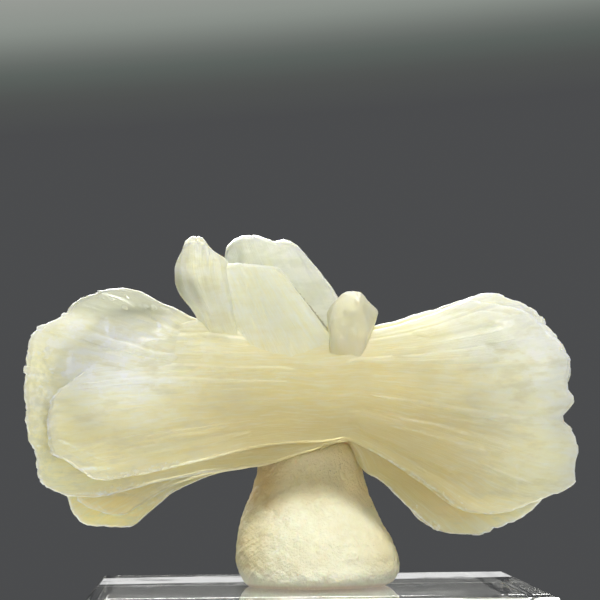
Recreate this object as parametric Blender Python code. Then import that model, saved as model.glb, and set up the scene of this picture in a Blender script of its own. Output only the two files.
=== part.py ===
"""A stilbite sheaf: a bow-tie of bladed crystals, stood on a putty mound on a clear acrylic block.

Blender 4.5 script, in metres, +Z up. The origin is the centre of the block's underside.
The sheaf's broad face looks along -Y. It is a stack of fan-shaped plates that grew through
one waist, with a few upright crystals on it, all grown together in one solid.
Outlines are in millimetres, as (X, Z) from the centre of the block's top face.
"""

import math
import random
from collections import namedtuple

import bmesh
import bpy
from mathutils import Vector
from mathutils.bvhtree import BVHTree

MM = 0.001

# The clear block that everything stands on.
BLOCK_SIDE = 25.4
BLOCK_HEIGHT = 12.7
BLOCK_BEVEL = 0.3

# The sheaf's waist, and how far from it each fan has its full splay.
WAIST = Vector((1.4, 11.2))
LEFT_REACH = 16.0
RIGHT_REACH = 13.0
SPLAY_POWER = 1.4
WAIST_HALF_HEIGHT = 2.8
RIM_HALF_HEIGHT = 6.0
BULGE_FADE = 3   # how fast a rim's bulge is lost towards the waist
LOWER_CURL = 0.35      # how much less a plate curls back along its lower side
LEFT_CURL = 0.6        # how much less it curls back on the left fan
WAIST_CURL = 0.38      # how much less it curls back at the waist
CURL_START = 6.5       # how far from the waist it curls back fully

# The space between pieces that touch.
GAP = 0.3

# How a plate thins towards its edge, and the share of its thickness left there.
TIP_TAPER = 1.2
SIDE_TAPER = 1.0
EDGE_SHARE = 0.3
BLADE_STEP = 0.12   # how far a plate's blades stand in front of each other
TIP_NOTCH = 0.15    # how far a blade may end short of its plate's rim

# Shares of a plate's length where it has a row of corners, closer together at its tips.
FAN_ROWS = (0.0, 0.05, 0.15, 0.28, 0.42, 0.54, 0.64, 0.76, 0.88, 0.95, 1.0)
UPRIGHT_ROWS = (0.0, 0.35, 0.65, 0.85, 1.0)

# The putty mound: each ring's height above the block, its radius and its middle's X.
PUTTY_RINGS = (
    (0.3, 3.8, 0.2),
    (0.6, 4.45, 0.3),
    (1.2, 4.7, 0.35),
    (2.2, 4.6, 0.2),
    (3.3, 4.25, 0.0),
    (4.4, 3.8, -0.15),
    (5.4, 3.35, -0.15),
    (6.0, 3.15, -0.1),
)
PUTTY_NECK_RADIUS = 2.9
PUTTY_NECK_TOP = 8.4    # where no crystal lies over it
PUTTY_SHOULDER = 6.4    # no part of its top is lower
PUTTY_DEPTH_AT_BASE = 0.94
PUTTY_DEPTH_AT_NECK = 0.66
PUTTY_LEAN = 0.9        # how far its neck stands behind its base
PUTTY_FOOT = 0.35       # how far its foot is spread to the front
PUTTY_SIDES = 36
PUTTY_TOP_SHARES = (1.0, 0.86, 0.7, 0.52, 0.32)

Plate = namedtuple("Plate", "outline depth thickness blades rows")


# ---------------------------------------------------------------- outlines

def along(points, share):
    """The point at a share of the length of a smooth curve through points."""
    points = [Vector(p) for p in points]
    steps = [(q - p).length for p, q in zip(points, points[1:])]
    left = share * sum(steps)
    i = 0
    while i < len(steps) - 1 and left > steps[i]:
        left -= steps[i]
        i += 1
    u = min(1.0, left / steps[i])
    p1, p2 = points[i], points[i + 1]
    p0 = points[i - 1] if i else p1
    p3 = points[i + 2] if i + 2 < len(points) else p2
    leave = (p2 - p0) * steps[i] / (steps[i] + (p1 - p0).length)
    arrive = (p3 - p1) * steps[i] / (steps[i] + (p3 - p2).length)
    return (
        (2 * u**3 - 3 * u**2 + 1) * p1
        + (u**3 - 2 * u**2 + u) * leave
        + (3 * u**2 - 2 * u**3) * p2
        + (u**3 - u**2) * arrive
    )


def outlined(lower, upper, start, end):
    """A plate's outline from its two sides, start to end, and its two ends, lower to upper.

    The start and end leave out their corners, which are the ends of the sides.
    """
    start = (lower[0], *start, upper[0])
    end = (lower[-1], *end, upper[-1])
    start_corners = (Vector(lower[0]), Vector(upper[0]))
    end_corners = (Vector(lower[-1]), Vector(upper[-1]))

    def at(a, b):
        across = along(lower, a).lerp(along(upper, a), b)
        start_bulge = along(start, b) - start_corners[0].lerp(start_corners[1], b)
        end_bulge = along(end, b) - end_corners[0].lerp(end_corners[1], b)
        return across + (1 - a) ** BULGE_FADE * start_bulge + a**BULGE_FADE * end_bulge

    return at


def between(first, second, share, size):
    """An outline between two others, drawn in towards the waist to a share of its size."""

    def at(a, b):
        point = first(a, b).lerp(second(a, b), share)
        return WAIST + size * (point - WAIST)

    return at


# ---------------------------------------------------------------- how plates lie in depth

def smooth_step(value):
    """0 at 0 and below, 1 at 1 and above, smooth between."""
    value = min(1.0, max(0.0, value))
    return value * value * (3 - 2 * value)


def splayed(waist, left, right, crown, sink=0.0):
    """The depth of a fan plate, from its Y at the waist and at its two rims.

    Its long sides curl back by crown, and the top of its left fan is set back by sink.
    """

    def depth(x, z):
        reach, rim = (LEFT_REACH, left) if x < WAIST.x else (RIGHT_REACH, right)
        share = min(1.0, abs(x - WAIST.x) / reach) ** SPLAY_POWER
        half_height = WAIST_HALF_HEIGHT + (RIM_HALF_HEIGHT - WAIST_HALF_HEIGHT) * share
        curl = min(1.3, abs(z - WAIST.y) / half_height) ** 2
        if z < WAIST.y:
            curl *= LOWER_CURL
        rim_curl = LEFT_CURL if x < WAIST.x else LEFT_CURL + (1 - LEFT_CURL) * share
        off_waist = smooth_step(abs(x - WAIST.x) / CURL_START)
        curl *= WAIST_CURL + (rim_curl - WAIST_CURL) * off_waist
        sunk = sink * smooth_step((z - 8.6) / 4.6) * smooth_step((-4.5 - x) / 4.5)
        return waist + (rim - waist) * share + crown * curl + sunk

    return depth


def leaning(root, back, turn, middle):
    """The depth of an upright crystal: back and turn are its slopes along Z and X."""
    return lambda x, z: root + back * (z - middle[1]) + turn * (x - middle[0])


# ---------------------------------------------------------------- the crystals

def fan_plates():
    """The bow-tie's plates, front to back."""
    front = outlined(
        lower=((-11.9, 6.2), (-7.1, 7.1), (-0.8, 8.2), (1.9, 8.5), (3.9, 7.5), (8.5, 4.4), (9.9, 4.1)),
        upper=((-9.6, 14.7), (-6.7, 15.3), (1.0, 14.3), (4.8, 14.9), (9.3, 16.4)),
        start=((-14.8, 7.7), (-15.2, 9.2), (-14.6, 11.2), (-12.6, 12.8)),
        end=((12.5, 4.8), (15.0, 6.4), (15.1, 8.2), (14.3, 9.5), (14.8, 11.0), (14.0, 13.6), (11.9, 15.6)),
    )
    second = outlined(
        lower=((-13.8, 5.3), (-12.3, 5.3), (-8.6, 6.4), (-0.7, 7.7), (2.0, 8.3), (3.0, 6.7), (7.1, 3.1)),
        upper=((-10.8, 17.25), (-8.8, 16.5), (-6.7, 15.6), (1.0, 14.4), (4.9, 15.3), (9.9, 16.9)),
        start=((-15.5, 6.3), (-16.4, 9.1), (-16.5, 12.2), (-15.9, 14.6), (-14.4, 15.7), (-13.1, 16.8)),
        end=((9.9, 3.0), (12.8, 4.6), (14.6, 7.1), (14.4, 9.4), (14.8, 12.5), (13.5, 14.9), (11.6, 16.4)),
    )
    low = outlined(
        lower=((-9.4, 4.4), (-6.2, 6.2), (-2.9, 6.9), (1.3, 7.5), (3.1, 6.5), (5.0, 5.2), (6.8, 3.2)),
        upper=((-13.8, 15.1), (-6.7, 15.1), (1.1, 14.1), (5.0, 15.0), (9.8, 16.3)),
        start=((-11.1, 3.5), (-13.4, 3.8), (-14.1, 4.9), (-15.2, 7.1), (-15.7, 11.4)),
        end=((9.8, 2.9), (12.7, 4.2), (14.3, 7.0), (14.6, 10.6), (12.9, 14.6)),
    )
    tall = outlined(
        lower=((-12.3, 6.1), (-7.0, 7.2), (-0.7, 7.9), (2.1, 8.1), (5.2, 6.6), (9.4, 4.7)),
        upper=((-10.8, 17.2), (-8.8, 16.4), (-6.7, 15.6), (1.2, 14.3), (5.1, 15.3), (9.8, 16.8)),
        start=((-15.0, 8.7), (-15.8, 11.7), (-14.7, 15.5), (-13.3, 16.7)),
        end=((12.8, 5.9), (14.4, 9.1), (14.2, 12.9), (12.4, 15.9)),
    )
    return [
        Plate(front, splayed(-2.3, -3.8, -3.5, 1.1, 0.6), 1.1, 9, FAN_ROWS),
        Plate(second, splayed(-1.6, -2.8, -2.5, 0.85, -0.35), 1.1, 9, FAN_ROWS),
        Plate(between(second, low, 0.45, 0.95), splayed(-1.1, -1.8, -1.6, 0.6), 1.1, 7, FAN_ROWS),
        Plate(low, splayed(-0.5, -0.8, -0.7, 0.35), 1.1, 9, FAN_ROWS),
        Plate(between(low, tall, 0.5, 0.96), splayed(0.1, 0.3, 0.3, 0.1), 1.1, 7, FAN_ROWS),
        Plate(tall, splayed(0.8, 1.5, 1.4, -0.1), 1.1, 9, FAN_ROWS),
        Plate(between(second, tall, 0.4, 0.93), splayed(1.4, 2.6, 2.4, -0.3), 1.1, 7, FAN_ROWS),
        Plate(between(second, front, 0.5, 0.9), splayed(2.0, 3.6, 3.3, -0.6), 1.1, 9, FAN_ROWS),
        Plate(between(front, tall, 0.5, 0.8), splayed(2.5, 4.4, 4.0, -0.8), 1.0, 8, FAN_ROWS),
    ]


def upright_crystals():
    """The crystals that stand on the waist. Each runs from its root to its tip."""
    left_blade = outlined(
        lower=((-5.1, 12.2), (-6.7, 15.6), (-7.8, 18.0), (-7.4, 19.5)),
        upper=((-3.3, 12.2), (-4.2, 15.5), (-4.8, 18.9), (-5.8, 19.6)),
        start=((-4.4, 11.9),),
        end=((-7.0, 20.1), (-6.4, 20.2)),
    )
    back_blade = outlined(
        lower=((-3.4, 12.4), (-4.8, 17.2), (-4.9, 19.5)),
        upper=((2.9, 12.3), (1.6, 16.6), (0.1, 18.8), (-0.9, 20.0)),
        start=((-0.3, 12.1),),
        end=((-3.7, 20.65), (-2.1, 20.35)),
    )
    front_blade = outlined(
        lower=((-3.4, 11.9), (-4.5, 15.8), (-5.1, 18.2)),
        upper=((2.2, 12.7), (0.9, 14.7), (-0.5, 16.9), (-1.7, 18.3)),
        start=((-0.7, 12.1),),
        end=((-4.1, 18.6), (-2.8, 18.3)),
    )
    little_crystal = outlined(
        lower=((0.8, 13.0), (1.1, 15.9)),
        upper=((2.6, 13.1), (3.5, 15.3)),
        start=((1.7, 12.9),),
        end=((1.4, 16.5), (2.4, 16.8), (3.1, 16.1)),
    )
    return [
        Plate(left_blade, leaning(-1.9, 0.08, 0.06, (-5.5, 15.0)), 1.4, 3, UPRIGHT_ROWS),
        Plate(back_blade, leaning(0.0, 0.10, -0.06, (-2.0, 15.0)), 1.5, 4, UPRIGHT_ROWS),
        Plate(front_blade, leaning(-1.85, 0.16, 0.09, (-2.0, 15.0)), 1.2, 4, UPRIGHT_ROWS),
        Plate(little_crystal, leaning(-1.85, 0.05, 0.10, (2.0, 14.5)), 2.0, 2, UPRIGHT_ROWS),
    ]


def rounding(distance, taper):
    """The share of a plate's thickness at a distance from its edge."""
    inward = min(1.0, distance / taper)
    return EDGE_SHARE + (1 - EDGE_SHARE) * math.sqrt(1 - (1 - inward) ** 2)


def plate_corners(plate, chance):
    """The corners of a plate's front and back, as two grids of (x, y, z) in mm."""
    columns = [k / plate.blades for k in range(plate.blades + 1)]
    steps = [chance.uniform(-BLADE_STEP, BLADE_STEP) for _ in columns]
    notches = [chance.uniform(0, TIP_NOTCH) * (0 < b < 1) for b in columns]
    front, back = [], []
    for a in plate.rows:
        width = (plate.outline(a, 1) - plate.outline(a, 0)).length
        front.append([])
        back.append([])
        for b, step, notch in zip(columns, steps, notches):
            length = (plate.outline(1, b) - plate.outline(0, b)).length
            point = plate.outline(a, b)
            inner = plate.outline(0.5, b)
            if a in (0.0, 1.0):
                point += notch * (inner - point).normalized()
            thickness = plate.thickness * rounding(min(a, 1 - a) * length, TIP_TAPER)
            thickness *= rounding(min(b, 1 - b) * width, SIDE_TAPER)
            middle = plate.depth(*point) + step
            front[-1].append(Vector((point.x, middle - thickness / 2, point.y)))
            back[-1].append(Vector((point.x, middle + thickness / 2, point.y)))
    return front, back


def plate_mesh(name, plate, chance):
    """A closed mesh of one plate, standing above the block."""
    bm = bmesh.new()
    lift = Vector((0, 0, BLOCK_HEIGHT))
    front, back = (
        [[bm.verts.new((corner + lift) * MM) for corner in row] for row in grid]
        for grid in plate_corners(plate, chance)
    )
    for grid in (front, back):
        for row, following in zip(grid, grid[1:]):
            for k in range(len(row) - 1):
                bm.faces.new((row[k], row[k + 1], following[k + 1], following[k]))
    rim_front, rim_back = (
        grid[0] + [row[-1] for row in grid[1:-1]] + grid[-1][::-1] + [row[0] for row in grid[-2:0:-1]]
        for grid in (front, back)
    )
    for k in range(len(rim_front)):
        bm.faces.new((rim_front[k - 1], rim_front[k], rim_back[k], rim_back[k - 1]))
    bmesh.ops.triangulate(bm, faces=bm.faces)
    bmesh.ops.recalc_face_normals(bm, faces=bm.faces)
    mesh = bpy.data.meshes.new(name)
    bm.to_mesh(mesh)
    bm.free()
    return mesh


def stilbite_sheaf():
    """All the crystals, joined into one solid."""
    chance = random.Random(7)
    others = bpy.data.collections.new("sheaf_crystals")
    bpy.context.scene.collection.children.link(others)
    crystals = fan_plates() + upright_crystals()
    for number, plate in enumerate(crystals[1:]):
        crystal = bpy.data.objects.new(f"crystal_{number}", plate_mesh(f"crystal_{number}", plate, chance))
        crystal.hide_render = True
        crystal.display_type = "WIRE"
        others.objects.link(crystal)
    sheaf = bpy.data.objects.new("stilbite_sheaf", plate_mesh("stilbite_sheaf", crystals[0], chance))
    bpy.context.scene.collection.objects.link(sheaf)
    union = sheaf.modifiers.new("grown_together", "BOOLEAN")
    union.operation = "UNION"
    union.operand_type = "COLLECTION"
    union.collection = others
    union.solver = "EXACT"
    return sheaf


# ---------------------------------------------------------------- the putty and the block

def evaluated_tree(part):
    """The part's finished surface, for rays."""
    return BVHTree.FromObject(part, bpy.context.evaluated_depsgraph_get())


def underside(tree, x, y):
    """The lowest height in mm at which the crystals lie over a point and its surroundings."""
    spots = [(x, y)] + [
        (x + GAP * 1.4 * math.cos(turn * math.tau / 8), y + GAP * 1.4 * math.sin(turn * math.tau / 8))
        for turn in range(8)
    ]
    heights = [PUTTY_NECK_TOP + GAP]
    for spot_x, spot_y in spots:
        start = Vector((spot_x, spot_y, BLOCK_HEIGHT)) * MM
        hit = tree.ray_cast(start, Vector((0, 0, 1)))[0]
        if hit:
            heights.append(hit.z / MM - BLOCK_HEIGHT)
    return min(heights)


def putty_mound(sheaf):
    """The flared mound of putty, its top pressed to the underside of the sheaf."""
    tree = evaluated_tree(sheaf)
    bm = bmesh.new()

    def corner(x, y, height):
        return bm.verts.new(Vector((x, y, BLOCK_HEIGHT + height)) * MM)

    def spot(radius, middle, height, turn):
        angle = turn * math.tau / PUTTY_SIDES
        lift = smooth_step(height / PUTTY_SHOULDER)
        depth_share = PUTTY_DEPTH_AT_BASE + (PUTTY_DEPTH_AT_NECK - PUTTY_DEPTH_AT_BASE) * lift
        back = PUTTY_LEAN * lift - PUTTY_FOOT * (1 - smooth_step(height / 1.5))
        return middle + radius * math.cos(angle), back + depth_share * radius * math.sin(angle)

    rings = [
        [corner(*spot(radius, middle, height, turn), height) for turn in range(PUTTY_SIDES)]
        for height, radius, middle in PUTTY_RINGS
    ]
    for share in PUTTY_TOP_SHARES:
        radius = share * PUTTY_NECK_RADIUS
        spots = [spot(radius, 0.0, PUTTY_SHOULDER, turn) for turn in range(PUTTY_SIDES)]
        rings.append(
            [corner(x, y, max(PUTTY_SHOULDER, underside(tree, x, y) - GAP)) for x, y in spots]
        )
    for ring, following in zip(rings, rings[1:]):
        for k in range(PUTTY_SIDES):
            bm.faces.new((ring[k - 1], ring[k], following[k], following[k - 1]))
    bm.faces.new(rings[0][::-1])
    peak = corner(0.0, PUTTY_LEAN, underside(tree, 0.0, PUTTY_LEAN) - GAP)
    for k in range(PUTTY_SIDES):
        bm.faces.new((rings[-1][k - 1], rings[-1][k], peak))
    bmesh.ops.recalc_face_normals(bm, faces=bm.faces)
    return new_part("putty_mound", bm)


def acrylic_block():
    """The clear block, its edges polished off by a narrow bevel."""
    bm = bmesh.new()
    bmesh.ops.create_cube(bm, size=1.0)
    bmesh.ops.scale(bm, vec=Vector((BLOCK_SIDE, BLOCK_SIDE, BLOCK_HEIGHT)) * MM, verts=bm.verts)
    bmesh.ops.translate(bm, vec=Vector((0, 0, BLOCK_HEIGHT / 2)) * MM, verts=bm.verts)
    bmesh.ops.bevel(
        bm, geom=bm.edges[:], offset=BLOCK_BEVEL * MM, segments=2, profile=0.5, affect="EDGES"
    )
    return new_part("acrylic_block", bm)


def new_part(name, bm):
    """An object of a finished bmesh, in the scene."""
    mesh = bpy.data.meshes.new(name)
    bm.to_mesh(mesh)
    bm.free()
    part = bpy.data.objects.new(name, mesh)
    bpy.context.scene.collection.objects.link(part)
    return part


# ---------------------------------------------------------------- materials

def finish(part, colour, roughness, see_through):
    """Give a part its material."""
    material = bpy.data.materials.new(part.name)
    material.use_nodes = True
    shader = material.node_tree.nodes["Principled BSDF"]
    shader.inputs["Base Color"].default_value = (*colour, 1.0)
    shader.inputs["Roughness"].default_value = roughness
    shader.inputs["Metallic"].default_value = 0.0
    shader.inputs["Transmission Weight"].default_value = see_through
    part.data.materials.clear()
    part.data.materials.append(material)


def main():
    """Build the three pieces."""
    for old in list(bpy.data.objects):
        bpy.data.objects.remove(old)
    sheaf = stilbite_sheaf()
    bpy.context.view_layer.update()
    finish(sheaf, (0.78, 0.70, 0.42), 0.35, 0.3)
    finish(putty_mound(sheaf), (0.80, 0.76, 0.60), 0.6, 0.0)
    finish(acrylic_block(), (0.95, 0.96, 0.96), 0.03, 1.0)


main()
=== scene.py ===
"""The looks of a stilbite sheaf on its putty mound and clear acrylic block.

Lengths are in millimetres. Outlines are (X, Z) from the centre of the block's top face, and Y is
the same as in the frame.
"""

import math
import random
from collections import namedtuple
from types import SimpleNamespace

import bmesh
import bpy
import numpy as np
from mathutils import Matrix, Vector, noise
from mathutils.bvhtree import BVHTree
from numpy.linalg import norm


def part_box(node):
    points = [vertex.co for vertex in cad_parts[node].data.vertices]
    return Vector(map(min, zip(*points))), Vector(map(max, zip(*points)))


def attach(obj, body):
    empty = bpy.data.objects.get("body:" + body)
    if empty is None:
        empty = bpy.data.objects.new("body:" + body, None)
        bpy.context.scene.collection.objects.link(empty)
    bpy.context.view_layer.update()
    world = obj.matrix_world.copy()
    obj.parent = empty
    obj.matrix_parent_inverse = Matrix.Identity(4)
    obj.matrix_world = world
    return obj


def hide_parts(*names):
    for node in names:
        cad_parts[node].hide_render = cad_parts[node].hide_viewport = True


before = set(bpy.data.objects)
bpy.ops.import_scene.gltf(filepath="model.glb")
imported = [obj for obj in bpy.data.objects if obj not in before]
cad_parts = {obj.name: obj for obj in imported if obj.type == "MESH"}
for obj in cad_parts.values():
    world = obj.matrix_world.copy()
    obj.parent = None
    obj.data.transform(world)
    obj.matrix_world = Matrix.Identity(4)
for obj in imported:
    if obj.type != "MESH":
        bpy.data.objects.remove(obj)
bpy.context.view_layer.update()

MM = 0.001
BLOCK_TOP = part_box("acrylic_block")[1].z / MM

# ---- the camera, from the block's edges
CAMERA_X = -6.0
CAMERA_Y = -144.8
CAMERA_ABOVE_BLOCK = 8.7
CAMERA_YAW = 2.14
CAMERA_PITCH = 3.10
CAMERA_ROLL = -0.45
CAMERA_LENS = 149.5
CAMERA_SENSOR = 36.0

# ---- the sheaf's proportions
WAIST = np.array((1.4, 11.2))  # X and Z
LEFT_REACH = 16.0
RIGHT_REACH = 13.0
SPLAY_POWER = 1.4
WAIST_HALF_HEIGHT = 2.8
RIM_HALF_HEIGHT = 6.0
BULGE_FADE = 3  # the power by which an outline's rounded end fades along it
EDGE_RIDGE = 0.12  # how far the middle of its edge stands out, as a share of the edge's width

# How a plate grows: taper is how far in from its edge it thins, and edge to what share. ragged is
# how uneven the blades' tips are, point how pointed the whole is, relief how far blades stand out.
Growth = namedtuple("Growth", "thickness taper edge blades rows ragged point relief clarity pallor")
# A fan plate: the Y of its middle at the waist and the two rims, how far it curls back along its
# upper side, and how much farther back its upper left lies.
Fan = namedtuple("Fan", "outline waist left right crown sink growth")
Upright = namedtuple("Upright", "outline depth growth")


# ---- places, meshes and outlines

def spot(x, y, z):
    """A place in mm from the centre of the block's top, as a place in the frame."""
    return Vector((x, y, z + BLOCK_TOP)) * MM


def mesh_of(name, bm):
    """A mesh of a finished bmesh."""
    mesh = bpy.data.meshes.new(name)
    bm.to_mesh(mesh)
    bm.free()
    return mesh


def hermite(u, start, leave, end, arrive):
    """The point a share u of the way from start to end, with the slopes at the two."""
    return (
        (2 * u**3 - 3 * u**2 + 1) * start
        + (u**3 - 2 * u**2 + u) * leave
        + (3 * u**2 - 2 * u**3) * end
        + (u**3 - u**2) * arrive
    )


def curve(points, shares):
    """The points at shares of the length of a smooth curve through points."""
    points = np.array(points, float)
    steps = norm(np.diff(points, axis=0), axis=1)
    ends = np.concatenate(([0.0], np.cumsum(steps)))
    at = np.clip(shares, 0.0, 1.0) * ends[-1]
    i = np.clip(np.searchsorted(ends, at, side="right") - 1, 0, len(steps) - 1)
    u = ((at - ends[i]) / steps[i])[:, None]
    before = points[np.maximum(i - 1, 0)]
    after = points[np.minimum(i + 2, len(points) - 1)]
    p1, p2 = points[i], points[i + 1]
    step = steps[i][:, None]
    leave = (p2 - before) * step / (step + norm(p1 - before, axis=1)[:, None])
    arrive = (after - p1) * step / (step + norm(after - p2, axis=1)[:, None])
    return hermite(u, p1, leave, p2, arrive)


def bulge(points, shares):
    """How far a curve through points lies off the straight line between its ends."""
    line = np.array(points[0]) + np.outer(shares, np.subtract(points[-1], points[0]))
    return (curve(points, shares) - line)[None]


def outlined(lower, upper, start, end):
    """An outline from two sides, start to end, and two ends, lower to upper, without corners."""
    start = (lower[0], *start, upper[0])
    end = (lower[-1], *end, upper[-1])

    def grid(a, b):
        low, high = curve(lower, a)[:, None], curve(upper, a)[:, None]
        across = b[None, :, None]
        flat = low + (high - low) * across
        along = a[:, None, None]
        at_start = (1 - along) ** BULGE_FADE * bulge(start, b)
        return flat + at_start + along**BULGE_FADE * bulge(end, b)

    return grid


def between(first, second, share, size):
    """An outline between two others, drawn in towards the waist to a share of its size."""
    return lambda a, b: WAIST + size * (
        first(a, b) * (1 - share) + second(a, b) * share - WAIST
    )


FRONT = outlined(
    lower=(
        (-11.9, 6.2), (-8.6, 6.8), (-5.6, 7.5), (-2.3, 8.2), (0.4, 8.3), (1.8, 8.5), (2.3, 8.3),
        (3.9, 7.5), (6.7, 5.7), (8.5, 4.4), (9.9, 4.1),
    ),
    upper=((-9.6, 14.7), (-6.7, 15.3), (-2.5, 14.7), (1.0, 14.35), (4.8, 14.9), (9.2, 16.4)),
    start=(
        (-12.7, 6.4), (-13.8, 7.1), (-14.8, 7.7), (-15.1, 8.7), (-15.1, 10.0), (-14.6, 11.2),
        (-13.4, 12.2), (-11.6, 13.4),
    ),
    end=(
        (11.2, 4.2), (12.5, 4.7), (14.2, 5.4), (14.9, 5.95), (14.87, 6.8), (15.1, 7.7), (14.9, 8.7),
        (14.2, 9.5), (14.9, 10.5), (14.5, 11.4), (14.6, 13.0), (13.5, 14.5), (12.0, 15.8),
    ),
)
SECOND = outlined(
    lower=(
        (-13.8, 5.3), (-12.2, 5.3), (-9.3, 6.0), (-7.4, 6.4), (-5.6, 6.7), (-3.2, 7.0), (-2.2, 7.2),
        (-0.3, 7.8), (2.0, 8.4), (2.4, 8.0), (2.8, 7.3), (3.0, 6.6), (4.1, 5.9), (5.0, 5.0),
        (6.0, 4.1), (7.1, 3.1),
    ),
    upper=(
        (-10.8, 17.2), (-9.8, 16.95), (-8.7, 16.35), (-7.7, 15.95), (-6.7, 15.45), (-2.5, 14.8),
        (1.0, 14.4), (3.5, 14.9), (5.0, 15.25), (6.9, 15.8), (7.6, 15.85), (8.8, 16.4), (9.9, 16.85),
    ),
    start=(
        (-14.5, 5.5), (-15.5, 6.2), (-15.8, 7.8), (-16.27, 8.6), (-16.4, 10.0), (-16.5, 11.4),
        (-16.4, 13.2), (-16.1, 14.5), (-15.3, 15.15), (-14.5, 15.5), (-14.1, 15.9), (-13.8, 16.35),
        (-13.1, 16.75), (-11.9, 17.05),
    ),
    end=(
        (8.6, 2.85), (10.0, 2.9), (10.7, 3.3), (11.9, 3.8), (12.9, 4.55), (14.4, 7.0), (14.1, 9.4),
        (14.7, 11.5), (14.75, 13.0), (14.15, 14.1), (13.5, 14.95), (13.2, 15.65), (12.5, 16.2),
        (11.65, 16.5), (10.8, 16.85),
    ),
)
LOW = outlined(
    lower=(
        (-10.2, 3.6), (-9.3, 4.4), (-8.1, 5.4), (-5.8, 6.4), (-4.0, 6.8), (-2.7, 7.0), (0.1, 7.7),
        (2.0, 8.3), (2.9, 6.8), (4.2, 6.0), (5.1, 5.1), (6.2, 3.8), (6.9, 3.3),
    ),
    upper=((-13.8, 15.1), (-6.7, 15.1), (1.1, 14.1), (4.9, 15.0), (9.7, 16.3)),
    start=(
        (-10.8, 3.4), (-12.0, 3.5), (-13.2, 3.7), (-13.9, 4.4), (-14.1, 5.0), (-15.2, 7.1),
        (-15.6, 11.4),
    ),
    end=(
        (8.2, 3.2), (9.7, 3.1), (10.6, 3.6), (11.9, 4.2), (12.7, 4.8), (14.2, 7.0), (14.3, 10.6),
        (12.9, 14.6),
    ),
)
TALL = outlined(
    lower=((-12.2, 6.1), (-7.0, 7.1), (-0.7, 7.9), (2.0, 8.4), (5.2, 6.7), (9.4, 4.7)),
    upper=(
        (-10.8, 17.15), (-9.8, 16.95), (-8.7, 16.35), (-7.7, 15.95), (-6.7, 15.5), (1.1, 14.3),
        (5.0, 15.2), (9.7, 16.8),
    ),
    start=(
        (-15.0, 8.7), (-15.8, 11.7), (-14.8, 15.4), (-14.1, 15.85), (-13.8, 16.3), (-13.1, 16.7),
        (-11.9, 17.0),
    ),
    end=((12.8, 5.9), (14.3, 9.1), (14.1, 12.9), (12.3, 15.9)),
)


def fan_plates():
    """The bow-tie's plates, front to back, with finer ones on the two outsides."""
    front = Growth(0.75, 0.13, 0.7, 30, 110, 0.09, 0.0, 0.010, 0.0, 0.0)
    second = Growth(0.75, 0.13, 0.7, 32, 110, 0.12, 0.0, 0.012, 0.05, 0.0)
    hidden = Growth(0.75, 0.20, 0.5, 13, 60, 0.16, 0.0, 0.03, 0.05, 0.0)
    low = Growth(0.75, 0.16, 0.6, 20, 80, 0.09, 0.0, 0.020, 0.1, 0.0)
    tall = Growth(0.8, 0.16, 0.6, 22, 90, 0.08, 0.0, 0.02, 0.45, 0.25)
    back = Growth(0.7, 0.16, 0.6, 22, 90, 0.12, 0.0, 0.03, 0.15, 0.0)
    return [
        Fan(FRONT, -2.40, -3.85, -3.55, 1.1, 0.6, front),
        Fan(between(FRONT, SECOND, 0.1, 0.975), -2.05, -3.35, -3.05, 0.98, 0.3, hidden),
        Fan(SECOND, -1.7, -2.85, -2.55, 0.85, -0.35, second),
        Fan(between(SECOND, FRONT, 0.3, 0.965), -1.3, -2.2, -1.95, 0.7, 0.0, hidden),
        Fan(between(SECOND, LOW, 0.75, 0.975), -0.9, -1.45, -1.3, 0.5, 0.0, hidden),
        Fan(LOW, -0.5, -0.75, -0.65, 0.35, 0.0, low),
        Fan(between(LOW, SECOND, 0.35, 0.965), -0.1, -0.05, 0.0, 0.15, 0.0, hidden),
        Fan(between(LOW, SECOND, 0.8, 0.96), 0.3, 0.7, 0.65, 0.0, 0.0, hidden),
        Fan(TALL, 0.75, 1.45, 1.35, -0.1, 0.0, tall),
        Fan(between(SECOND, TALL, 0.6, 0.95), 1.2, 2.2, 2.0, -0.3, 0.0, hidden),
        Fan(between(SECOND, TALL, 0.3, 0.93), 1.65, 2.9, 2.65, -0.5, 0.0, back),
        Fan(between(SECOND, FRONT, 0.5, 0.9), 2.05, 3.5, 3.2, -0.7, 0.0, hidden),
        Fan(between(FRONT, TALL, 0.5, 0.83), 2.45, 4.1, 3.75, -0.9, 0.0, back),
    ]


LATH = Growth(0.4, 0.3, 0.3, 3, 40, 0.06, 0.0, 0.015, 0.0, 0.0)
LATH_RIMS = (0.0, 0.0, 0.03, 0.08, 0.16)  # where a lath starts along its plate
LATH_ROOTS = (0.28, 0.5)  # where it ends
LATH_WIDTHS = (0.04, 0.13)
LATH_SIDES = (0.03, 0.95)  # how near to the plate's long sides it lies
LATH_POINTS = (0.3, 0.8)
LATH_PROUD = (0.015, 0.05)  # how far it stands out


def share_of(outline, along, across):
    """The part of an outline between two shares of its length and two of its width."""
    return lambda a, b: outline(
        along[0] + (along[1] - along[0]) * a, across[0] + (across[1] - across[0]) * b
    )


def laid_on(plate, along, across, lift, growth):
    """A blade that lies on a face of a fan plate, between shares of its length and width."""
    return plate._replace(
        outline=share_of(plate.outline, along, across),
        waist=plate.waist + lift,
        left=plate.left + lift,
        right=plate.right + lift,
        growth=growth,
    )


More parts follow.
